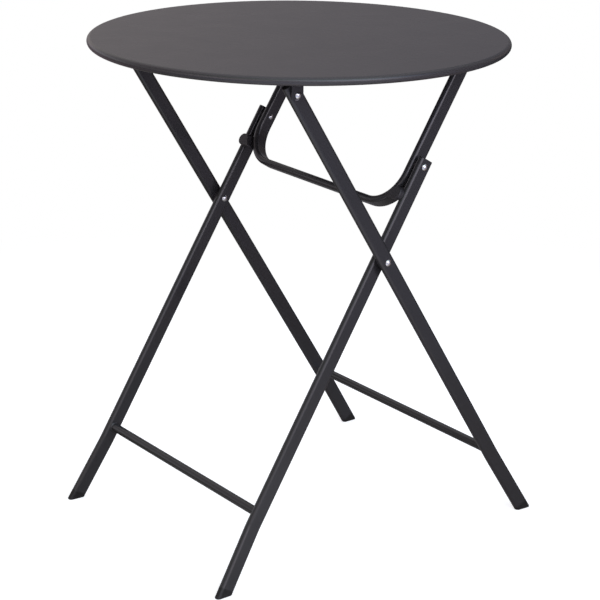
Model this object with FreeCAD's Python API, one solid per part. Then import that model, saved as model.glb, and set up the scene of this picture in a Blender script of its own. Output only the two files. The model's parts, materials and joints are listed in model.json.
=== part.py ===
import FreeCAD, Part
import math, os
from FreeCAD import Vector as V

# Folding bistro table: round sheet top on two scissor leg frames, with a
# U-shaped brace between the top and the inner frame. Millimetres, +Z up,
# origin on the floor under the centre of the top. X is the folding direction,
# Y runs along the hinges.

# ---------------------------------------------------------------- dimensions
TOP_RADIUS = 300.0
TOP_HEIGHT = 714.0          # upper surface
SHEET = 1.2                 # thickness of the top
RIM_RADIUS = 5.7            # outside of the rolled rim
RIM_MID_ANGLE = -25         # a point on the roll, degrees from +X
RIM_END_ANGLE = -140        # where the roll stops

# Flat tube sections are (wide side, thin side, corner radius). The wide side
# lies in the folding plane.
TUBE_WIDE, TUBE_THIN, TUBE_CORNER = 22.5, 10.4, 4.6
TUBE_WALL = 1.2
PEG_PLAY = 0.05             # clearance around a plastic peg in the bore
TUBE = (TUBE_WIDE, TUBE_THIN, TUBE_CORNER)


def inset(section, depth):
    wide, thin, corner = section
    return wide - 2 * depth, thin - 2 * depth, corner - depth


BORE = inset(TUBE, TUBE_WALL)
PEG = inset(BORE, PEG_PLAY)
HALF_THIN = TUBE_THIN / 2

HINGE_Z = 685.7             # both hinge lines under the top
OUTER_HINGE_X = -160.1
BRACE_HINGE_X = 152.4
SCISSOR_X, SCISSOR_Z = -3.66, 431.5
BRACE_PIN_X = 70.06

# centre planes of the legs and brace arms, as |y|
FRAME_PITCH = 16.6
OUTER_Y = 211.8
INNER_Y = OUTER_Y - FRAME_PITCH
BRACE_Y = INNER_Y - FRAME_PITCH

CROSSBAR_RADIUS = 6.4
LEG_BEND_RADIUS = 90.0
LEG_END_Z = 9.5             # lower tube ends above the floor
OUTER_OVERRUN = 15.5        # outer leg above its hinge
INNER_OVERRUN = 10.0        # inner leg above the brace pin
BRACE_OVERRUN = 12.0        # brace arm above its hinge
BRACE_DROP = 68.6           # brace pin to the centre line of the bottom bar
BRACE_BEND_RADIUS = 52.0    # corners of the brace, on the centre line

RIVET_RADIUS = 3.0
HEAD = (4.75, 3.0)          # rivet head radius and height
SMALL_HEAD = (3.9, 2.4)     # heads on the inner sides of the brace
HEAD_EDGE = 0.6             # straight edge under the dome of a head
TURNING_RADIUS = RIVET_RADIUS + 0.05    # hole that turns on a rivet
GAP = 0.10                  # face clearance between turning parts
WASHER = 1.5                # thickness of the hinge washers
WASHER_RADIUS = 7.0
SCISSOR_SPACER_RADIUS = 8.0
PLATE = 2.5                 # thickness of the hinge brackets

SIDES = (("near", -1), ("far", 1))      # near is -Y


# ------------------------------------------------------------------- helpers
def unit(vector):
    result = V(vector)
    result.normalize()
    return result


def at_y(point, y):
    return V(point.x, y, point.z)


def at_height(point, along, z):
    """Point at height z on the line through point."""
    return point + along * ((z - point.z) / along.z)


def section_face(centre, along, wide, section):
    """Rounded rectangle square to along, its wide side parallel to wide."""
    width, thickness, radius = section
    thin = along.cross(wide)

    def corner_point(sign_x, sign_y, degrees):
        angle = math.radians(degrees)
        return (centre
                + wide * (sign_x * (width / 2 - radius) + radius * math.cos(angle))
                + thin * (sign_y * (thickness / 2 - radius) + radius * math.sin(angle)))

    edges = []
    previous = corner_point(-1, -1, 270)
    for i, (sign_x, sign_y) in enumerate(((1, -1), (1, 1), (-1, 1), (-1, -1))):
        start, middle, end = [corner_point(sign_x, sign_y, 90 * i + turn)
                              for turn in (-90, -45, 0)]
        edges.append(Part.makeLine(previous, start))
        edges.append(Part.Arc(start, middle, end).toShape())
        previous = end
    return Part.Face(Part.Wire(edges))


def swept_bar(points, bend_radius, wide, section, extra=0.0):
    """Solid bar along a planar polyline with rounded corners; extra lengthens
    both ends."""
    directions = [unit(b - a) for a, b in zip(points, points[1:])]
    start = points[0] - directions[0] * extra
    pieces = []
    for corner, along, after in zip(points[1:], directions, directions[1:]):
        angle = math.acos(along.dot(after))
        setback = bend_radius * math.tan(angle / 2)
        stop = corner - along * setback
        pieces.append(section_face(start, along, wide, section).extrude(stop - start))
        inward = unit(after - along * along.dot(after))
        axis = unit(along.cross(after))
        pieces.append(section_face(stop, along, wide, section).revolve(
            stop + inward * bend_radius, axis, math.degrees(angle)))
        start = corner + after * setback
    end = points[-1] + directions[-1] * extra
    pieces.append(section_face(start, directions[-1], wide, section).extrude(end - start))
    return pieces[0].multiFuse(pieces[1:]).removeSplitter()


def swept_tube(points, bend_radius, wide):
    outside = swept_bar(points, bend_radius, wide, TUBE)
    return outside.cut(swept_bar(points, bend_radius, wide, BORE, extra=5.0))


def y_cylinder(point, radius, y_start, y_end):
    low = min(y_start, y_end)
    return Part.makeCylinder(radius, abs(y_end - y_start), at_y(point, low), V(0, 1, 0))


def drill(tube, point, radius, y_leg, side):
    return tube.cut(y_cylinder(point, radius, side * (y_leg - 20), side * (y_leg + 20)))


def only_solid(shape):
    (solid,) = shape.Solids
    return solid


def edge_middle(edge):
    return edge.valueAt((edge.FirstParameter + edge.LastParameter) / 2)


def rivet(point, y_head, y_tail, head_sign, tail_head=True, head=HEAD):
    """Domed rivet along Y: its head stands on y_head towards head_sign, and
    the shank runs to y_tail, with a second head there if tail_head is set."""
    radius, height = head

    def dome(y, sign):
        rise = height - HEAD_EDGE
        ball_radius = (radius ** 2 + rise ** 2) / (2 * rise)
        base = y_cylinder(point, radius, y, y + sign * HEAD_EDGE)
        ball = Part.makeSphere(ball_radius, at_y(point, y + sign * (height - ball_radius)))
        limit = y_cylinder(point, radius, y + sign * HEAD_EDGE, y + sign * (height + 1))
        return base.fuse(ball.common(limit))

    solid = y_cylinder(point, RIVET_RADIUS, y_head, y_tail)
    solid = solid.fuse(dome(y_head, head_sign))
    if tail_head:
        solid = solid.fuse(dome(y_tail, -head_sign))
    return only_solid(solid.removeSplitter())


def washer(point, side, y_inner, y_outer, radius):
    disc = y_cylinder(point, radius, side * y_inner, side * y_outer)
    hole = y_cylinder(point, RIVET_RADIUS, side * (y_inner - 1), side * (y_outer + 1))
    return only_solid(disc.cut(hole))


def write(name, solids):
    shape = solids[0] if len(solids) == 1 else Part.makeCompound(solids)
    shape.exportStep(os.path.join("parts", name + ".step"))


# ------------------------------------------------------------------- linkage
def flat_error(pin_z):
    """Top, outer leg, inner leg and brace arm fold flat when
    outer + brace = top + inner; this is the difference."""
    outer = math.hypot(SCISSOR_X - OUTER_HINGE_X, SCISSOR_Z - HINGE_Z)
    inner = math.hypot(BRACE_PIN_X - SCISSOR_X, pin_z - SCISSOR_Z)
    brace = math.hypot(BRACE_PIN_X - BRACE_HINGE_X, pin_z - HINGE_Z)
    return outer + brace - (BRACE_HINGE_X - OUTER_HINGE_X) - inner


def flat_pin_height():
    """Height of the brace pin, by bisection."""
    low, high = 548.0, 558.0
    for _ in range(60):
        middle = (low + high) / 2
        if flat_error(middle) > 0:
            low = middle
        else:
            high = middle
    return (low + high) / 2


def across(along):
    """Direction of the wide side of a tube in the folding plane."""
    return V(-along.z, 0, along.x)


# joints in the folding plane
outer_hinge = V(OUTER_HINGE_X, 0, HINGE_Z)
scissor = V(SCISSOR_X, 0, SCISSOR_Z)
brace_pin = V(BRACE_PIN_X, 0, flat_pin_height())
brace_hinge = V(BRACE_HINGE_X, 0, HINGE_Z)

# all three point down their tubes
outer_along = unit(scissor - outer_hinge)
inner_along = unit(scissor - brace_pin)
brace_along = unit(brace_pin - brace_hinge)
brace_wide = across(brace_along)


# ----------------------------------------------------------------------- top
def tabletop():
    """Flat sheet with a rolled rim, revolved about Z."""
    rim_x = TOP_RADIUS - RIM_RADIUS
    rim_z = TOP_HEIGHT - RIM_RADIUS
    under_z = TOP_HEIGHT - SHEET

    def rim_point(radius, degrees):
        angle = math.radians(degrees)
        return V(rim_x + radius * math.cos(angle), 0, rim_z + radius * math.sin(angle))

    def rim_points(radius):
        return rim_point(radius, RIM_MID_ANGLE), rim_point(radius, RIM_END_ANGLE)

    outer_mid, outer_end = rim_points(RIM_RADIUS)
    inner_mid, inner_end = rim_points(RIM_RADIUS - SHEET)
    centre_top, edge_top = V(0, 0, TOP_HEIGHT), V(rim_x, 0, TOP_HEIGHT)
    centre_under, edge_under = V(0, 0, under_z), V(rim_x, 0, under_z)
    edges = [
        Part.makeLine(centre_top, edge_top),
        Part.Arc(edge_top, outer_mid, outer_end).toShape(),
        Part.makeLine(outer_end, inner_end),
        Part.Arc(inner_end, inner_mid, edge_under).toShape(),
        Part.makeLine(edge_under, centre_under),
        Part.makeLine(centre_under, centre_top),
    ]
    return only_solid(Part.Face(Part.Wire(edges)).revolve(V(0, 0, 0), V(0, 0, 1), 360))


# -------------------------------------------------------------------- hinges
BRACKET_LONG = 10.1         # hinge line to the bracket end away from the centre
BRACKET_SHORT = 8.1         # and to the end towards the centre
CHEEK_DROP = 5.5            # cheek below the hinge line
FLANGE_REACH = 14.0         # flange inward of the leg centre plane


def bracket(hinge, x_low, x_high, y_leg, side):
    """Angle bracket: a cheek outside the leg and a flange under the sheet."""
    y_inner = y_leg + HALF_THIN + GAP + WASHER
    y_outer = y_inner + PLATE
    y_flange = y_leg - FLANGE_REACH
    z_top = TOP_HEIGHT - SHEET
    z_low = HINGE_Z - CHEEK_DROP
    length = x_high - x_low
    cheek = Part.makeBox(length, PLATE, z_top - z_low, V(x_low, y_inner, z_low))
    flange = Part.makeBox(length, y_outer - y_flange, PLATE,
                          V(x_low, y_flange, z_top - PLATE))
    solid = cheek.fuse(flange).removeSplitter()

    def edges_along_x(y, z):
        return [edge for edge in solid.Edges
                if abs(edge_middle(edge).z - z) < 1e-3 and abs(edge_middle(edge).y - y) < 1e-3]

    # lower corners of the cheek, then the outside and inside of the bend
    lower = [edge for edge in solid.Edges
             if abs(edge_middle(edge).z - z_low) < 1e-3 and abs(edge.Length - PLATE) < 1e-3]
    solid = solid.makeFillet(2.5, lower)
    solid = solid.makeFillet(PLATE - 0.1, edges_along_x(y_outer, z_top))
    solid = solid.makeFillet(1.0, edges_along_x(y_inner, z_top - PLATE))
    solid = solid.cut(y_cylinder(hinge, RIVET_RADIUS, y_inner - 1, y_outer + 1))
    if side < 0:
        solid = solid.mirror(V(0, 0, 0), V(0, 1, 0))
    return only_solid(solid)


def write_hinges(name, hinge, x_low, x_high, y_leg):
    """Brackets, rivets and washers of one hinge line."""
    rivets, washers = [], []
    y_washer = y_leg + HALF_THIN + GAP
    y_plate = y_washer + WASHER + PLATE
    for side_name, side in SIDES:
        write(name + "_hinge_bracket_" + side_name,
              [bracket(hinge, x_low, x_high, y_leg, side)])
        rivets.append(rivet(hinge, side * y_plate, side * (y_leg - HALF_THIN - GAP), side))
        washers.append(washer(hinge, side, y_washer, y_washer + WASHER, WASHER_RADIUS))
    write(name + "_hinge_rivets", rivets)
    write(name + "_hinge_washers", washers)


# -------------------------------------------------------------------- frames
PLUG_FLANGE = 1.2           # flange thickness of the end plugs
PEG_OVERLAP = 0.5           # peg root inside the plug flange or foot


def foot_cap(tube_end, along, wide):
    """Plastic foot with a flat sole on the floor and a peg in the tube."""
    body = section_face(tube_end, along, wide, TUBE).extrude(along * 40)
    below_floor = Part.makeBox(200, 200, 60, V(tube_end.x - 100, tube_end.y - 100, -60))
    body = body.cut(below_floor)
    sole = [edge for edge in body.Edges if all(abs(v.Z) < 1e-3 for v in edge.Vertexes)]
    # the sole stays sharp if its slanted outline cannot be rounded
    try:
        rounded = body.makeFillet(1.4, sole)
        if rounded.isValid() and rounded.Volume > 0:
            body = rounded
    except Exception:
        pass
    peg = section_face(tube_end + along * PEG_OVERLAP, along, wide, PEG).extrude(along * -16.5)
    return only_solid(body.fuse(peg).removeSplitter())


def end_plug(tube_end, along):
    """Plastic plug in an upper tube end, with a flange flush with the tube."""
    wide = across(along)
    flange = section_face(tube_end, along, wide, TUBE).extrude(along * -PLUG_FLANGE)
    rim = [edge for edge in flange.Edges
           if all((v.Point - tube_end).dot(along) < -PLUG_FLANGE + 0.1
                  for v in edge.Vertexes)]
    # the flange stays sharp if its rim cannot be rounded
    try:
        rounded = flange.makeFillet(0.7, rim)
        if rounded.isValid():
            flange = rounded
    except Exception:
        pass
    peg = section_face(tube_end - along * PEG_OVERLAP, along, wide, PEG).extrude(along * 6.3)
    return only_solid(flange.fuse(peg).removeSplitter())


def leg(top, along, y_leg, side, bend_z, splay, holes):
    """Leg tube, with its lower end, the direction there and the wide side."""
    upper = at_y(top, side * y_leg)
    bend = at_y(at_height(top, along, bend_z), side * y_leg)
    floor_point = at_y(at_height(top, along, 0.0), side * (y_leg + splay))
    lower_along = unit(floor_point - bend)
    lower = at_height(bend, lower_along, LEG_END_Z)
    # the wide side stays square to the bend plane
    wide = unit(unit(bend - upper).cross(lower_along))
    if wide.dot(across(along)) < 0:
        wide = wide * -1
    tube = swept_tube([upper, bend, lower], LEG_BEND_RADIUS, wide)
    for point, radius in holes:
        tube = drill(tube, point, radius, y_leg, side)
    return only_solid(tube), lower, lower_along, wide


def write_frame(name, top, along, y_leg, bend_z, splay, bar_z, holes):
    """Two legs that kick outward by splay below bend_z, with their caps,
    plugs and crossbar."""
    plugs = []
    for side_name, side in SIDES:
        tube, lower, lower_along, wide = leg(top, along, y_leg, side, bend_z, splay, holes)
        write(name + "_leg_" + side_name, [tube])
        write(name + "_foot_cap_" + side_name, [foot_cap(lower, lower_along, wide)])
        plugs.append(end_plug(at_y(top, side * y_leg), along))
    write(name + "_end_plugs", plugs)
    half_bar = y_leg - HALF_THIN
    bar = y_cylinder(at_height(top, along, bar_z), CROSSBAR_RADIUS, -half_bar, half_bar)
    write(name + "_crossbar", [only_solid(bar)])


def write_scissor_joints():
    """Rivets fixed in the outer legs; the inner legs turn on them."""
    rivets, spacers = [], []
    for _, side in SIDES:
        rivets.append(rivet(scissor, side * (OUTER_Y + HALF_THIN),
                            side * (INNER_Y - HALF_THIN - GAP), side))
        spacers.append(washer(scissor, side, INNER_Y + HALF_THIN + GAP,
                              OUTER_Y - HALF_THIN, SCISSOR_SPACER_RADIUS))
    write("scissor_rivets", rivets)
    write("scissor_spacers", spacers)


# --------------------------------------------------------------------- brace
brace_top = brace_hinge - brace_along * BRACE_OVERRUN
brace_low = brace_pin + brace_along * BRACE_DROP
brace_path = [at_y(brace_top, -BRACE_Y), at_y(brace_low, -BRACE_Y),
              at_y(brace_low, BRACE_Y), at_y(brace_top, BRACE_Y)]


def write_brace():
    """U-shaped tube: two arms and a bottom bar along Y."""
    brace = swept_tube(brace_path, BRACE_BEND_RADIUS, brace_wide)
    for side in (-1, 1):
        brace = drill(brace, brace_hinge, TURNING_RADIUS, BRACE_Y, side)
        brace = drill(brace, brace_pin, RIVET_RADIUS, BRACE_Y, side)
    write("brace_bar", [only_solid(brace)])
    write("brace_end_plugs",
          [end_plug(at_y(brace_top, side * BRACE_Y), brace_along) for side in (-1, 1)])


def write_brace_pins():
    """Each pin has one half in the inner leg and spacer, one in the brace."""
    outer_halves, inner_halves, spacers = [], [], []
    for _, side in SIDES:
        outer_halves.append(rivet(brace_pin, side * (INNER_Y + HALF_THIN),
                                  side * (INNER_Y - HALF_THIN - 3.0), side,
                                  tail_head=False))
        inner_halves.append(rivet(brace_pin, side * (BRACE_Y - HALF_THIN),
                                  side * (BRACE_Y + HALF_THIN), -side,
                                  tail_head=False, head=SMALL_HEAD))
        spacers.append(washer(brace_pin, side, BRACE_Y + HALF_THIN + 2 * GAP,
                              INNER_Y - HALF_THIN, WASHER_RADIUS))
    write("brace_pin_outer_halves", outer_halves)
    write("brace_pin_inner_halves", inner_halves)
    write("brace_pin_spacers", spacers)


# --------------------------------------------------------------------- stops
STOP_DISTANCE = 48.7        # brace pin to the middle of the stop
STOP_HALF = 18.0 / 2        # half the stop length along the brace
STOP_HEIGHT = 7.5           # above the tube
STOP_SINK = 0.3             # block sunk below the tube face before the cut
STOP_LOW_Y = 166.6          # |y| of the lower inner corner
STOP_HIGH_Y = 181.0         # |y| of the upper inner corner
STOP_MIDDLE = (0.8, 174.4)  # point on the inner arc: along the brace, |y|
SADDLE_DEPTH = 4.5          # saddle below the tube face
SADDLE_THICKNESS = 6.0


def brace_stop(side, brace_core):
    """Moulded block on a brace corner: a saddle hugs the brace tube and a
    tongue rests on the upper edge of the inner leg."""
    base = brace_pin + brace_along * STOP_DISTANCE - brace_wide * (TUBE_WIDE / 2)

    def place(distance, y):
        return at_y(base, side * y) + brace_along * distance

    def footprint(y_end, rounded):
        """Outline on the tube face; the inner side follows the tube bend."""
        y_straight = y_end - (STOP_HALF if rounded else 0)
        upper_end = place(-STOP_HALF, y_straight)
        lower_end = place(STOP_HALF, y_straight)
        upper_inner = place(-STOP_HALF, STOP_HIGH_Y)
        lower_inner = place(STOP_HALF, STOP_LOW_Y)
        if rounded:
            end = Part.Arc(upper_end, place(0, y_end), lower_end).toShape()
        else:
            end = Part.makeLine(upper_end, lower_end)
        return Part.Face(Part.Wire([
            Part.makeLine(upper_inner, upper_end),
            end,
            Part.makeLine(lower_end, lower_inner),
            Part.Arc(lower_inner, place(*STOP_MIDDLE), upper_inner).toShape(),
        ]))

    def at_inner_corner(vertex):
        return any(abs(abs(vertex.Y) - y) < 0.01 for y in (STOP_LOW_Y, STOP_HIGH_Y))

    face = footprint(INNER_Y + HALF_THIN - 2.0, True)
    face.translate(brace_wide * STOP_SINK)
    full_height = STOP_HEIGHT + STOP_SINK
    block = face.extrude(brace_wide * -full_height)
    corner_edges = [edge for edge in block.Edges
                    if len(edge.Vertexes) == 2 and abs(edge.Length - full_height) < 1e-3
                    and any(at_inner_corner(v) for v in edge.Vertexes)]
    block = block.makeFillet(2.0, corner_edges)
    top_edges = [edge for edge in block.Edges
                 if all((v.Point - base).dot(brace_wide) < -STOP_HEIGHT + 0.05
                        for v in edge.Vertexes)]
    block = block.makeFillet(1.9, top_edges)
    # saddle sunk over the outer side of the brace tube
    face = footprint(BRACE_Y + HALF_THIN - 0.4, False)
    face.translate(brace_wide * SADDLE_DEPTH)
    saddle = face.extrude(brace_wide * -SADDLE_THICKNESS)
    block = block.fuse(saddle).cut(brace_core)
    # the cut can leave slivers, so only the largest piece is kept
    return max(block.Solids, key=lambda solid: solid.Volume)


# --------------------------------------------------------------------- build
os.makedirs("parts", exist_ok=True)

write("tabletop_panel", [tabletop()])
write_hinges("outer", outer_hinge, OUTER_HINGE_X - BRACKET_LONG,
             OUTER_HINGE_X + BRACKET_SHORT, OUTER_Y)
write_hinges("brace", brace_hinge, BRACE_HINGE_X - BRACKET_SHORT,
             BRACE_HINGE_X + BRACKET_LONG, BRACE_Y)

# outer frame: hinged to the top at -X, feet at +X
write_frame("outer", outer_hinge - outer_along * OUTER_OVERRUN, outer_along, OUTER_Y,
            bend_z=97.0, splay=6.4, bar_z=107.0,
            holes=[(outer_hinge, TURNING_RADIUS), (scissor, RIVET_RADIUS)])
# inner frame: pinned to the brace at its top ends, feet at -X
write_frame("inner", brace_pin - inner_along * INNER_OVERRUN, inner_along, INNER_Y,
            bend_z=86.0, splay=6.6, bar_z=103.5,
            holes=[(brace_pin, RIVET_RADIUS), (scissor, TURNING_RADIUS)])
write_scissor_joints()

write_brace()
write_brace_pins()
brace_core = swept_bar(brace_path, BRACE_BEND_RADIUS, brace_wide, TUBE)
for side_name, side in SIDES:
    write("brace_stop_" + side_name, [brace_stop(side, brace_core)])
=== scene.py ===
import json
import math

import bmesh
import bpy
from mathutils import Matrix, Vector, noise


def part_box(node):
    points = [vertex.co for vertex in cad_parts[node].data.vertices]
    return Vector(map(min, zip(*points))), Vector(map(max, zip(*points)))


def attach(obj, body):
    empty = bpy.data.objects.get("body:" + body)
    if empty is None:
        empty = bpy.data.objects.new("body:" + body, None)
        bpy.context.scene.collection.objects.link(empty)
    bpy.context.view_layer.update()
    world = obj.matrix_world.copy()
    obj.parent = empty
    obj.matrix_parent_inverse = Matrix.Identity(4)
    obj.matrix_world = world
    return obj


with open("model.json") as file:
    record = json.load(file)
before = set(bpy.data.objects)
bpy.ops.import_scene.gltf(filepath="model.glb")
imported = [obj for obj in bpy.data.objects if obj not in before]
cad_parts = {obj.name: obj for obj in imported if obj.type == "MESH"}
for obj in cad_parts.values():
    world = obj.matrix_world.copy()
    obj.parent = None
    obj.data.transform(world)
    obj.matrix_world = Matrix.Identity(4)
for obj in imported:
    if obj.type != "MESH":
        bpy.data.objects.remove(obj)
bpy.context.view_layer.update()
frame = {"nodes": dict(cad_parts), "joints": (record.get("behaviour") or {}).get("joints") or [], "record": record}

scene = bpy.context.scene

# ---------------------------------------------------------------- measurements
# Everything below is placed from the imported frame, in metres.
JOINT = {j["name"]: Vector(j["pos_m"]) for j in frame["joints"]}
A = JOINT["fold"]            # outer frame hinge line
P = JOINT["scissor"]         # scissor pivot
U = JOINT["brace_swing"]     # brace hinge line


def mid(node):
    lo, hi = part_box(node)
    return (lo + hi) / 2


MM = 0.001
pin_mid = mid("brace_pin_spacers")
Q = Vector((pin_mid.x, 0.0, pin_mid.z))
bar_out = mid("outer_crossbar")
bar_in = mid("inner_crossbar")
y_bar_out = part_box("outer_crossbar")[1].y        # inner face of the outer legs
y_bar_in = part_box("inner_crossbar")[1].y         # inner face of the inner legs
bar_r = (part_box("outer_crossbar")[1].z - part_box("outer_crossbar")[0].z) / 2

# ------------------------------------------------------------------- node kit


class Nodes:
    """A small helper to write node trees."""

    def __init__(self, tree):
        self.t = tree
        tree.nodes.clear()

    def new(self, kind, **props):
        n = self.t.nodes.new(kind)
        inputs = props.pop("inputs", {})
        for k, v in props.items():
            setattr(n, k, v)
        for k, v in inputs.items():
            s = n.inputs[k]
            if isinstance(v, bpy.types.NodeSocket):
                self.t.links.new(v, s)
            else:
                s.default_value = v
        return n

    def link(self, a, b):
        self.t.links.new(a, b)

    def math(self, op, a, b=None, c=None, clamp=False):
        n = self.new("ShaderNodeMath", operation=op, use_clamp=clamp)
        for i, v in enumerate((a, b, c)):
            if v is None:
                continue
            if isinstance(v, bpy.types.NodeSocket):
                self.link(v, n.inputs[i])
            else:
                n.inputs[i].default_value = v
        return n.outputs[0]

    def vmath(self, op, a, b=None):
        n = self.new("ShaderNodeVectorMath", operation=op)
        for i, v in enumerate((a, b)):
            if v is None:
                continue
            if isinstance(v, bpy.types.NodeSocket):
                self.link(v, n.inputs[i])
            else:
                n.inputs[i].default_value = v
        return n

    def ramp(self, fac, stops, interp="LINEAR"):
        n = self.new("ShaderNodeValToRGB")
        cr = n.color_ramp
        cr.interpolation = interp
        while len(cr.elements) > 1:
            cr.elements.remove(cr.elements[-1])
        cr.elements[0].position = stops[0][0]
        cr.elements[0].color = stops[0][1]
        for p, c in stops[1:]:
            e = cr.elements.new(p)
            e.color = c
        self.link(fac, n.inputs["Fac"])
        return n.outputs["Color"]

    def mix(self, fac, a, b, blend="MIX"):
        n = self.new("ShaderNodeMix", data_type="RGBA", blend_type=blend)
        sock = {i.identifier: i for i in n.inputs}
        for ident, v in (("Factor_Float", fac), ("A_Color", a), ("B_Color", b)):
            if isinstance(v, bpy.types.NodeSocket):
                self.link(v, sock[ident])
            else:
                sock[ident].default_value = v
        return next(o for o in n.outputs if o.identifier == "Result_Color")

    def maprange(self, v, a, b, c, d, smooth=False):
        n = self.new("ShaderNodeMapRange")
        n.interpolation_type = "SMOOTHSTEP" if smooth else "LINEAR"
        self.link(v, n.inputs["Value"])
        for k, x in (("From Min", a), ("From Max", b), ("To Min", c), ("To Max", d)):
            n.inputs[k].default_value = x
        return n.outputs["Result"]

    def noise(self, vec, scale, detail=3.0, rough=0.5, distort=0.0):
        n = self.new("ShaderNodeTexNoise")
        self.link(vec, n.inputs["Vector"])
        n.inputs["Scale"].default_value = scale
        n.inputs["Detail"].default_value = detail
        n.inputs["Roughness"].default_value = rough
        n.inputs["Distortion"].default_value = distort
        return n.outputs["Fac"]

    def voronoi(self, vec, scale, feature="F1"):
        n = self.new("ShaderNodeTexVoronoi", feature=feature)
        self.link(vec, n.inputs["Vector"])
        n.inputs["Scale"].default_value = scale
        return n

    def mapping(self, vec, rot=(0, 0, 0), scale=(1, 1, 1), loc=(0, 0, 0)):
        n = self.new("ShaderNodeMapping")
        self.link(vec, n.inputs["Vector"])
        n.inputs["Rotation"].default_value = rot
        n.inputs["Scale"].default_value = scale
        n.inputs["Location"].default_value = loc
        return n.outputs["Vector"]

    def bump(self, height, strength, distance, normal=None):
        n = self.new("ShaderNodeBump")
        n.inputs["Strength"].default_value = strength
        n.inputs["Distance"].default_value = distance
        self.link(height, n.inputs["Height"])
        if normal is not None:
            self.link(normal, n.inputs["Normal"])
        return n.outputs["Normal"]


def new_material(name):
    m = bpy.data.materials.new(name)
    m.use_nodes = True
    k = Nodes(m.node_tree)
    out = k.new("ShaderNodeOutputMaterial")
    bsdf = k.new("ShaderNodeBsdfPrincipled")
    k.link(bsdf.outputs["BSDF"], out.inputs["Surface"])
    tc = k.new("ShaderNodeTexCoord")
    return m, k, bsdf, tc.outputs["Object"]


def rgb(r, g, b):
    return (r, g, b, 1.0)


def scaled(c, f):
    return (c[0] * f, c[1] * f, c[2] * f, 1.0)


# ------------------------------------------------------------------ materials
def powder_coat(name, base, rough, grain=1.0, mottle=0.10, streak_rot=0.0, streak=0.0,
                dust=0.0, ior=1.5, edge=0.0, wave=0.30, patchy=1.0):
    """Thermoset powder coat: orange peel and fine grain in the relief, slow
    mottling in the colour, patchy gloss, a few pale specks of dust."""
    m, k, b, obj = new_material(name)
    info = k.new("ShaderNodeObjectInfo")
    shift = k.vmath("SCALE", k.vmath("ADD", (3.1, 1.7, 2.3), (0.0, 0.0, 0.0)).outputs[0])
    k.link(info.outputs["Random"], shift.inputs["Scale"])
    pos = k.vmath("ADD", obj, shift.outputs[0]).outputs[0]

    # colour: slow cloudy mottling, long faint streaks, tiny pigment grain
    cloud = k.noise(pos, 11.0, 5.0, 0.62, 0.5)
    cloud2 = k.noise(pos, 42.0, 4.0, 0.6, 0.2)
    grain_n = k.noise(pos, 2600.0, 2.0, 0.6)
    c1 = k.mix(k.maprange(cloud, 0.32, 0.68, 0.0, 1.0, True), scaled(base, 1.0 - mottle), scaled(base, 1.0 + mottle))
    c2 = k.mix(k.maprange(cloud2, 0.35, 0.7, 0.0, 0.5, True), c1, scaled(base, 1.0 + 0.6 * mottle))
    if streak > 0:
        sv = k.mapping(obj, rot=(0, 0, streak_rot), scale=(1.6, 26.0, 1.0))
        st = k.noise(sv, 2.2, 6.0, 0.66, 0.35)
        st2 = k.noise(sv, 7.5, 4.0, 0.6, 0.1)
        f = k.math("ADD", k.math("MULTIPLY", st, 0.65), k.math("MULTIPLY", st2, 0.35))
        c2 = k.mix(k.maprange(f, 0.36, 0.66, 0.0, 1.0, True), k.mix(1.0, c2, rgb(1 - streak, 1 - streak, 1 - streak), "MULTIPLY"),
                   k.mix(1.0, c2, rgb(1 + streak, 1 + streak, 1 + streak * 0.9), "MULTIPLY"))
    c3 = k.mix(k.maprange(grain_n, 0.58, 0.80, 0.0, 0.35 * grain), c2, scaled(base, 1.9))
    if dust > 0:
        sp = k.voronoi(pos, 210.0)
        keep = k.maprange(k.noise(pos, 17.0, 2.0), 0.52, 0.62, 0.0, 1.0, True)
        speck = k.math("MULTIPLY", k.maprange(sp.outputs["Distance"], 0.05, 0.12, 1.0, 0.0, True), keep)
        c3 = k.mix(k.math("MULTIPLY", speck, dust), c3, rgb(0.32, 0.31, 0.31))
    if edge > 0:
        bev = k.new("ShaderNodeBevel", samples=4)
        bev.inputs["Radius"].default_value = 0.0009
        geo = k.new("ShaderNodeNewGeometry")
        d = k.vmath("DOT_PRODUCT", bev.outputs["Normal"], geo.outputs["Normal"]).outputs["Value"]
        worn = k.math("MULTIPLY", k.maprange(d, 0.995, 0.90, 0.0, 1.0, True), k.maprange(cloud2, 0.4, 0.62, 0.15, 1.0, True))
        c3 = k.mix(k.math("MULTIPLY", worn, edge), c3, scaled(base, 3.2))
    k.link(c3, b.inputs["Base Color"])

    # gloss: patches and handling marks
    patch = k.noise(pos, 23.0, 4.0, 0.6, 0.3)
    fine = k.noise(pos, 900.0, 2.0, 0.5)
    r = k.math("ADD", k.maprange(patch, 0.3, 0.7, rough - 0.045 * patchy, rough + 0.06 * patchy), k.maprange(fine, 0.3, 0.7, -0.03, 0.03))
    k.link(r, b.inputs["Roughness"])
    b.inputs["IOR"].default_value = ior

    # relief: orange peel with a finer leathery grain on top
    peel = k.noise(pos, 330.0, 3.0, 0.55, 0.2)
    fine2 = k.noise(pos, 1500.0, 3.0, 0.6)
    slow = k.noise(obj, 16.0, 2.0, 0.5)
    n0 = k.bump(slow, wave, 0.0004)
    n1 = k.bump(peel, 0.26 * grain, 0.00018, n0)
    n2 = k.bump(fine2, 0.16 * grain, 0.00006, n1)
    k.link(n2, b.inputs["Normal"])
    return m


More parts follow.
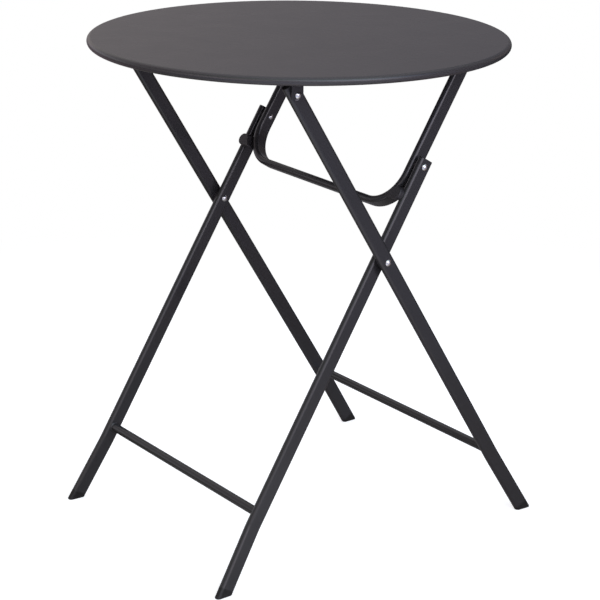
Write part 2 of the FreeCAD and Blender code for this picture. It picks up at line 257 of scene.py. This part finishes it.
def zinc(name):
    """Bright zinc plate on a formed head: small spangle, fine tool scratches."""
    m, k, b, obj = new_material(name)
    sp = k.voronoi(obj, 1150.0)
    tone = k.maprange(sp.outputs["Distance"], 0.0, 0.8, 0.92, 1.04)
    cloud = k.noise(obj, 260.0, 4.0, 0.6)
    base = k.mix(k.maprange(cloud, 0.35, 0.7, 0.0, 1.0, True), rgb(0.86, 0.86, 0.85), rgb(0.70, 0.70, 0.71))
    col = k.new("ShaderNodeVectorMath", operation="SCALE")
    k.link(base, col.inputs[0])
    k.link(tone, col.inputs["Scale"])
    k.link(col.outputs[0], b.inputs["Base Color"])
    b.inputs["Metallic"].default_value = 1.0
    scr = k.noise(k.mapping(obj, rot=(0.3, 0.2, 0.7), scale=(400, 4000, 1800)), 1.0, 3.0, 0.6)
    k.link(k.maprange(k.math("ADD", scr, cloud), 0.7, 1.3, 0.10, 0.24), b.inputs["Roughness"])
    k.link(k.bump(scr, 0.15, 0.00002, k.bump(cloud, 0.2, 0.00006)), b.inputs["Normal"])
    return m


def moulded(name, base, rough, dusty=0.0, grain=1.0):
    """Injection-moulded plastic: spark-eroded grain, scuffs, faint flow marks;
    the parts that meet the floor carry some pale dust."""
    m, k, b, obj = new_material(name)
    cloud = k.noise(obj, 70.0, 4.0, 0.6, 0.4)
    flow = k.noise(k.mapping(obj, rot=(0.4, 0.9, 0.1), scale=(60, 500, 60)), 1.0, 3.0, 0.6, 0.4)
    c = k.mix(k.maprange(cloud, 0.3, 0.7, 0.0, 1.0, True), scaled(base, 0.86), scaled(base, 1.18))
    c = k.mix(k.maprange(flow, 0.5, 0.75, 0.0, 0.35, True), c, scaled(base, 1.5))
    scuff = k.noise(k.mapping(obj, rot=(0.2, 0.5, 1.1), scale=(900, 130, 300)), 1.0, 4.0, 0.7)
    c = k.mix(k.maprange(scuff, 0.66, 0.78, 0.0, 0.45, True), c, scaled(base, 3.4))
    if dusty > 0:
        sep = k.new("ShaderNodeSeparateXYZ")
        k.link(obj, sep.inputs[0])
        low = k.maprange(sep.outputs["Z"], 0.0, 0.007, 1.0, 0.0, True)
        dn = k.maprange(k.noise(obj, 520.0, 4.0, 0.65), 0.40, 0.66, 0.1, 1.0, True)
        c = k.mix(k.math("MULTIPLY", k.math("MULTIPLY", low, dn), dusty), c, rgb(0.22, 0.21, 0.20))
    k.link(c, b.inputs["Base Color"])
    k.link(k.maprange(cloud, 0.3, 0.7, rough - 0.06, rough + 0.07), b.inputs["Roughness"])
    vor = k.voronoi(obj, 1900.0)
    fine = k.noise(obj, 3200.0, 2.0, 0.5)
    n1 = k.bump(vor.outputs["Distance"], 0.30 * grain, 0.00007)
    n2 = k.bump(fine, 0.25 * grain, 0.00004, n1)
    n3 = k.bump(flow, 0.20, 0.00008, n2)
    k.link(n3, b.inputs["Normal"])
    b.inputs["IOR"].default_value = 1.49
    return m


VIEW_AZ = math.radians(-38.431)
TOP = (0.0483, 0.0438, 0.0454)
FRAME = (0.0294, 0.0286, 0.0302)
MATS = {
    "top_paint": powder_coat("top_paint_coat", TOP, 0.28, grain=0.5, mottle=0.02, streak_rot=-VIEW_AZ,
                             streak=0.022, dust=0.05, wave=0.04, patchy=0.25),
    "frame_paint": powder_coat("frame_paint_coat", FRAME, 0.17, grain=0.20, mottle=0.05, dust=0.04, wave=0.05, patchy=0.6),
    "zinc_steel": zinc("zinc_plate"),
    "black_plastic": moulded("black_moulding", (0.0040, 0.0038, 0.0040), 0.50, dusty=0.05),
    "grey_plastic": moulded("grey_moulding", (0.0290, 0.0265, 0.0290), 0.50),
}
slots = {s["node"]: s["material_slot"] for s in frame["record"]["subparts"]}
for name, o in frame["nodes"].items():
    mat = MATS[slots[name]]
    if not o.data.materials:
        o.data.materials.append(mat)
    for s in o.material_slots:
        s.link = "OBJECT"
        s.material = mat


# --------------------------------------------------------------------- pieces
def mesh_object(name, bm, material, body, smooth=True):
    me = bpy.data.meshes.new(name)
    bmesh.ops.recalc_face_normals(bm, faces=bm.faces)
    bm.to_mesh(me)
    bm.free()
    for p in me.polygons:
        p.use_smooth = smooth
    o = bpy.data.objects.new(name, me)
    scene.collection.objects.link(o)
    me.materials.append(material)
    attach(o, body)
    return o


def ring_mesh(bm, centre, axis, side, profile, n):
    """Closed ring about centre: profile(a) gives (radius, height) points in
    order, side spans the start of the angle, height runs along axis."""
    axis = axis.normalized()
    side = (side - axis * side.dot(axis)).normalized()
    up = axis.cross(side)
    rows = []
    for i in range(n):
        a = 2 * math.pi * i / n
        d = side * math.cos(a) + up * math.sin(a)
        rows.append([bm.verts.new(centre + d * r + axis * h) for r, h in profile(a)])
    m = len(rows[0])
    for i in range(n):
        p, q = rows[i], rows[(i + 1) % n]
        for j in range(m):
            bm.faces.new((p[j], p[(j + 1) % m], q[(j + 1) % m], q[j]))


def weld_ring(name, centre, axis, r, leg, seed, body, ripples=19):
    """A fillet weld round a bar end: overlapping ripples with uneven legs,
    start and stop craters, buried slightly in both parts."""
    bm = bmesh.new()

    def profile(a):
        t = a / (2 * math.pi)
        wob = 0.14 * noise.noise(Vector((math.cos(a) * 1.3, math.sin(a) * 1.3, seed)))
        saw = (t * ripples + 0.15 * math.sin(a * 3 + seed)) % 1.0
        rip = 0.10 * (math.sin(math.pi * saw) ** 0.7) - 0.05
        crater = 0.22 * math.exp(-((min(t, 1 - t)) / 0.018) ** 2)
        s = leg * (1.0 + wob + rip - crater)
        pts = [(r - 0.5 * MM, -0.55 * MM), (r + s, -0.55 * MM), (r + s, 0.0)]
        for i in range(1, 8):
            u = i / 8.0
            bulge = 0.16 * s * math.sin(math.pi * u)
            x = s * (1 - u) + bulge * 0.7071
            y = s * u + bulge * 0.7071
            pts.append((r + x, y))
        pts += [(r, s), (r - 0.5 * MM, s)]
        return pts

    ring_mesh(bm, centre, axis, Vector((1, 0, 0.35)), profile, 228)
    return mesh_object(name, bm, MATS["frame_paint"], body)


for side, sgn in (("near", -1), ("far", 1)):
    weld_ring("outer_crossbar_weld_" + side, Vector((bar_out.x, sgn * y_bar_out, bar_out.z)), Vector((0, -sgn, 0)),
              bar_r, 1.75 * MM, 3.0 + sgn, "outer_frame")
    weld_ring("inner_crossbar_weld_" + side, Vector((bar_in.x, sgn * y_bar_in, bar_in.z)), Vector((0, -sgn, 0)),
              bar_r, 1.75 * MM, 7.0 + sgn, "inner_frame")


def spot_weld(name, centre, body):
    """The mark of a spot weld on the underside of a flange: a pressed dish
    with a raised lip of squeezed metal."""
    bm = bmesh.new()
    prof = [(0.0, 0.05), (0.6, 0.05), (1.2, 0.06), (1.7, 0.10), (2.1, 0.17), (2.45, 0.24), (2.8, 0.26), (3.1, 0.22),
            (3.35, 0.12), (3.5, 0.0), (3.5, -0.3), (0.0, -0.3)]
    n = 72
    rows = []
    for r, h in prof:
        if r == 0.0:
            rows.append([bm.verts.new(centre + Vector((0, 0, -h * MM)))])
            continue
        row = []
        for i in range(n):
            a = 2 * math.pi * i / n
            w = 1 + 0.035 * noise.noise(Vector((math.cos(a) * 1.5, math.sin(a) * 1.5, centre.x * 900)))
            hh = h * (1 + (0.25 * noise.noise(Vector((math.cos(a) * 2, math.sin(a) * 2, centre.y * 700))) if h > 0.1 else 0))
            row.append(bm.verts.new(centre + Vector((math.cos(a) * r * w * MM, math.sin(a) * r * w * MM, -hh * MM))))
        rows.append(row)
    for p, q in zip(rows, rows[1:]):
        for i in range(n):
            j = (i + 1) % n
            if len(p) == 1:
                bm.faces.new((p[0], q[i], q[j]))
            elif len(q) == 1:
                bm.faces.new((p[i], q[0], p[j]))
            else:
                bm.faces.new((p[i], q[i], q[j], p[j]))
    return mesh_object(name, bm, MATS["frame_paint"], body)


for node in ("outer_hinge_bracket_near", "outer_hinge_bracket_far", "brace_hinge_bracket_near", "brace_hinge_bracket_far"):
    lo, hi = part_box(node)
    sgn = -1 if (lo.y + hi.y) < 0 else 1
    y_in = hi.y if sgn < 0 else lo.y
    z = hi.z - 2.5 * MM
    for i, off in enumerate((4.6, 11.6)):
        spot_weld(node + "_spot_%d" % (i + 1), Vector(((lo.x + hi.x) / 2, y_in + sgn * off * MM, z)), "tabletop")

# ---------------------------------------------------------------------- stage
def back_dir(phi, el):
    """Direction from the table, phi degrees to the right of the viewer."""
    a, e = VIEW_AZ, math.radians(el)
    bh = Vector((math.sin(a), -math.cos(a), 0))
    rt = Vector((math.cos(a), math.sin(a), 0))
    p = math.radians(phi)
    return ((bh * math.cos(p) + rt * math.sin(p)) * math.cos(e) + Vector((0, 0, math.sin(e)))).normalized()


# Light of the studio, as soft lobes: elevation, bearing to the right of the
# viewer, sharpness, colour. They are finest on the window side.
SKY = [
    (3, 14.0, 60, (0.116, 0.149, 0.014)),
    (3, 28.0, 60, (0.757, 0.692, 0.585)),
    (3, 42.0, 60, (1.865, 1.738, 1.851)),
    (3, 56.0, 60, (0.879, 0.709, 0.782)),
    (15, 14.0, 60, (0.567, 0.507, 0.597)),
    (15, 28.0, 60, (1.378, 1.175, 1.460)),
    (15, 42.0, 60, (1.549, 1.530, 1.795)),
    (15, 56.0, 60, (0.691, 0.679, 0.757)),
    (15, 70.0, 60, (0.305, 0.246, 0.257)),
    (27, 0.0, 60, (0.916, 0.779, 1.048)),
    (27, 14.0, 60, (1.558, 1.566, 1.986)),
    (27, 28.0, 60, (1.711, 1.899, 2.385)),
    (27, 42.0, 60, (1.290, 1.512, 1.847)),
    (27, 56.0, 60, (0.566, 0.725, 0.986)),
    (27, 70.0, 60, (0.305, 0.451, 0.756)),
    (40, 0.0, 60, (1.008, 1.062, 1.182)),
    (40, 14.0, 60, (0.654, 0.840, 1.034)),
    (40, 28.0, 60, (0.754, 0.958, 1.136)),
    (40, 42.0, 60, (0.863, 1.021, 1.138)),
    (40, 56.0, 60, (0.505, 0.612, 0.750)),
    (40, 70.0, 60, (0.019, 0.073, 0.290)),
    (56, 0.0, 40, (0.004, 0.063, 0.004)),
    (56, 14.0, 40, (0.009, 0.109, 0.053)),
    (56, 28.0, 40, (0.196, 0.378, 0.330)),
    (56, 42.0, 40, (0.477, 0.592, 0.510)),
    (56, 56.0, 40, (0.459, 0.511, 0.457)),
    (56, 70.0, 40, (0.156, 0.173, 0.201)),
    (5, 90.0, 24, (0.132, 0.106, 0.087)),
    (5, 135.0, 24, (0.182, 0.125, 0.095)),
    (5, 157.5, 24, (0.060, 0.057, 0.063)),
    (5, -180.0, 24, (0.170, 0.158, 0.160)),
    (5, -157.5, 24, (0.400, 0.338, 0.330)),
    (5, -135.0, 24, (0.510, 0.476, 0.550)),
    (5, -112.5, 24, (0.746, 0.746, 0.772)),
    (5, -90.0, 24, (0.177, 0.176, 0.177)),
    (5, -67.5, 24, (0.351, 0.312, 0.276)),
    (5, -45.0, 24, (1.387, 1.226, 1.290)),
    (5, -22.5, 24, (0.888, 0.714, 0.729)),
    (28, 98.0, 22, (0.054, 0.033, 0.061)),
    (28, 125.0, 22, (0.040, 0.042, 0.056)),
    (28, 179.0, 22, (0.003, 0.003, 0.048)),
    (28, -154.0, 22, (0.338, 0.332, 0.279)),
    (28, -127.0, 22, (0.145, 0.141, 0.169)),
    (28, -19.0, 22, (0.378, 0.362, 0.314)),
    (54, -141.0, 14, (0.225, 0.219, 0.227)),
    (54, -103.0, 14, (0.461, 0.337, 0.345)),
    (54, -27.0, 14, (0.254, 0.455, 0.295)),
    (54, -179.0, 14, (0.420, 0.420, 0.450)),
    (56, 128.0, 14, (0.480, 0.480, 0.500)),
    (86, 0.0, 16, (0.790, 0.775, 1.010)),
]
# Light coming back from the floor: bearing, narrowness, the radii between
# which it fades in and out, colour.
FLOOR_LIGHT = [
    (0, 0, (-2, -1, 0.25, 0.5), (0.237, 0.226, 0.234)),
    (0, 4, (0.25, 0.5, 0.8, 1.2), (0.836, 0.821, 0.894)),
    (90, 4, (0.25, 0.5, 0.8, 1.2), (0.111, 0.079, 0.063)),
    (-180, 4, (0.25, 0.5, 0.8, 1.2), (0.152, 0.146, 0.171)),
    (-90, 4, (0.25, 0.5, 0.8, 1.2), (0.087, 0.099, 0.056)),
    (0, 6, (0.8, 1.2, 30, 50), (0.565, 0.619, 0.813)),
    (60, 6, (0.8, 1.2, 30, 50), (0.292, 0.259, 0.310)),
    (-180, 6, (0.8, 1.2, 30, 50), (0.030, 0.041, 0.039)),
    (-120, 6, (0.8, 1.2, 30, 50), (0.295, 0.230, 0.262)),
]


def scaled_by(k, colour, fac):
    n = k.new("ShaderNodeVectorMath", operation="SCALE")
    n.inputs[0].default_value = colour
    k.link(fac, n.inputs["Scale"])
    return n.outputs[0]


def floor():
    bm = bmesh.new()
    n = 96
    radii = [0.0, 0.3, 0.7, 1.2, 2.0, 4.0, 9.0, 20.0, 60.0]
    rows = [[bm.verts.new((0, 0, 0))]]
    for r in radii[1:]:
        rows.append([bm.verts.new((r * math.cos(2 * math.pi * i / n), r * math.sin(2 * math.pi * i / n), 0)) for i in range(n)])
    for p, q in zip(rows, rows[1:]):
        for i in range(n):
            j = (i + 1) % n
            bm.faces.new((p[0], q[i], q[j]) if len(p) == 1 else (p[i], q[i], q[j], p[j]))
    me = bpy.data.meshes.new("studio_floor")
    bm.to_mesh(me)
    bm.free()
    o = bpy.data.objects.new("studio_floor", me)
    scene.collection.objects.link(o)
    m = bpy.data.materials.new("studio_floor_white")
    m.use_nodes = True
    k = Nodes(m.node_tree)
    out = k.new("ShaderNodeOutputMaterial")
    dif = k.new("ShaderNodeBsdfDiffuse", inputs={"Color": rgb(0.80, 0.80, 0.80)})
    glow = k.new("ShaderNodeEmission", inputs={"Color": rgb(1, 1, 1), "Strength": 0.66})
    near = k.new("ShaderNodeAddShader")
    k.link(dif.outputs[0], near.inputs[0])
    k.link(glow.outputs[0], near.inputs[1])
    far = k.new("ShaderNodeEmission", inputs={"Color": rgb(1, 1, 1), "Strength": 1.0})
    tc = k.new("ShaderNodeTexCoord")
    dist = k.vmath("LENGTH", tc.outputs["Object"]).outputs["Value"]
    seen = k.new("ShaderNodeMixShader")
    k.link(k.maprange(dist, 0.55, 1.5, 0.0, 1.0, True), seen.inputs[0])
    k.link(near.outputs[0], seen.inputs[1])
    k.link(far.outputs[0], seen.inputs[2])
    # bounce light in rings and sectors round the table
    flat = k.vmath("NORMALIZE", tc.outputs["Object"]).outputs[0]
    light = None
    for phi, power, (r0, r1, r2, r3), colour in FLOOR_LIGHT:
        part = k.math("MULTIPLY", k.maprange(dist, r0, r1, 0.0, 1.0, True), k.maprange(dist, r2, r3, 1.0, 0.0, True))
        if power > 0:
            facing = k.vmath("DOT_PRODUCT", flat, tuple(back_dir(phi, 0))).outputs["Value"]
            half = k.math("MULTIPLY", k.math("ADD", facing, 1.0), 0.5)
            part = k.math("MULTIPLY", part, k.math("POWER", half, power))
        c = scaled_by(k, colour, part)
        light = c if light is None else k.vmath("ADD", light, c).outputs[0]
    bounce = k.new("ShaderNodeEmission")
    k.link(light, bounce.inputs["Color"])
    lp = k.new("ShaderNodeLightPath")
    mix = k.new("ShaderNodeMixShader")
    k.link(lp.outputs["Is Camera Ray"], mix.inputs[0])
    k.link(bounce.outputs[0], mix.inputs[1])
    k.link(seen.outputs[0], mix.inputs[2])
    k.link(mix.outputs[0], out.inputs["Surface"])
    me.materials.append(m)


floor()

world = bpy.data.worlds.new("studio")
scene.world = world
world.use_nodes = True
k = Nodes(world.node_tree)
wout = k.new("ShaderNodeOutputWorld")
tc = k.new("ShaderNodeTexCoord")
dirn = k.vmath("NORMALIZE", tc.outputs["Generated"]).outputs[0]


total = None
for el, phi, sharp, colour in SKY:
    dot = k.vmath("DOT_PRODUCT", dirn, tuple(back_dir(phi, el))).outputs["Value"]
    near_lobe = k.math("EXPONENT", k.math("MULTIPLY", k.math("SUBTRACT", dot, 1.0), sharp))
    c = scaled_by(k, colour, near_lobe)
    total = c if total is None else k.vmath("ADD", total, c).outputs[0]
total = k.vmath("ADD", total, (0.035, 0.035, 0.036)).outputs[0]
lit = k.new("ShaderNodeBackground")
k.link(total, lit.inputs["Color"])
white = k.new("ShaderNodeBackground", inputs={"Color": rgb(1, 1, 1), "Strength": 1.0})
lp = k.new("ShaderNodeLightPath")
mixw = k.new("ShaderNodeMixShader")
k.link(lp.outputs["Is Camera Ray"], mixw.inputs[0])
k.link(lit.outputs[0], mixw.inputs[1])
k.link(white.outputs[0], mixw.inputs[2])
k.link(mixw.outputs[0], wout.inputs["Surface"])


# --------------------------------------------------------------------- camera
CAM = dict(az=-38.431, el=15.248, roll=1.216, dist=2.879912, f=1972.541, tx=0.139889, tz=0.471403, cx=395.448, cy=200.31)


def make_camera(c):
    a, e, r = math.radians(c["az"]), math.radians(c["el"]), math.radians(c["roll"])
    back = Vector((math.sin(a) * math.cos(e), -math.cos(a) * math.cos(e), math.sin(e)))
    right = Vector((math.cos(a), math.sin(a), 0))
    up = back.cross(right)
    loc = Vector((0, 0, 0.4)) + back * c["dist"] + right * c["tx"] + up * (c["tz"] - 0.4)
    r2 = right * math.cos(r) + up * math.sin(r)
    u2 = -right * math.sin(r) + up * math.cos(r)
    data = bpy.data.cameras.new("camera")
    data.sensor_fit = "HORIZONTAL"
    data.sensor_width = 36.0
    data.lens = c["f"] / 600.0 * 36.0
    data.clip_start, data.clip_end = 0.05, 200.0
    cam = bpy.data.objects.new("camera", data)
    scene.collection.objects.link(cam)
    cam.rotation_mode = "QUATERNION"
    cam.rotation_quaternion = Matrix((r2, u2, back)).transposed().to_quaternion()
    cam.location = loc
    # The frame is an off-centre part of the lens's picture. The shift holds
    # only while the camera stands here, so that any other view is centred.
    for prop, value in (("shift_x", (300.0 - c["cx"]) / 600.0), ("shift_y", (c["cy"] - 300.0) / 600.0)):
        drv = data.driver_add(prop).driver
        drv.type = "SCRIPTED"
        v = drv.variables.new()
        v.name = "x"
        v.type = "TRANSFORMS"
        v.targets[0].id = cam
        v.targets[0].transform_type = "LOC_X"
        v.targets[0].transform_space = "WORLD_SPACE"
        drv.expression = "%.6f if abs(x - %.6f) < 0.0005 else 0.0" % (value, loc.x)
    scene.camera = cam
    return cam


cam = make_camera(CAM)
scene.view_settings.view_transform = "Standard"
